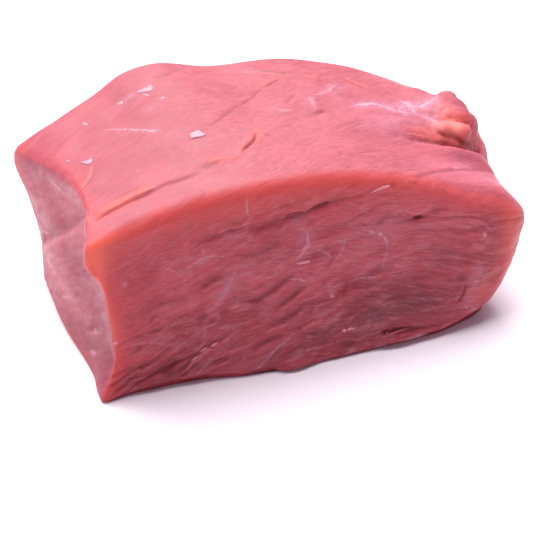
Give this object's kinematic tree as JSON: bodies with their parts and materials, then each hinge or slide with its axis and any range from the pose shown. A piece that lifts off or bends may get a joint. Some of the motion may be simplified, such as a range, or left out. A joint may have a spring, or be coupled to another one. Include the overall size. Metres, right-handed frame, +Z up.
{
  "type": "raw veal roast",
  "caption": "Boneless block of raw veal, cut square at one end and rounded and torn at the other, lying on its flat side",
  "frame": {"origin": "middle of the footprint, on the surface the roast lies on", "axes": "+X along the roast from the square cut to the rounded end, -Y out of the long cut face at the front, +Z up"},
  "size_m": [0.2054, 0.1242, 0.0929],
  "materials": {
    "raw_veal": "moist raw meat, softly glossy and slightly translucent"
  },
  "bodies": {
    "root": {"veal_roast": "raw_veal"}
  },
  "joints": []
}
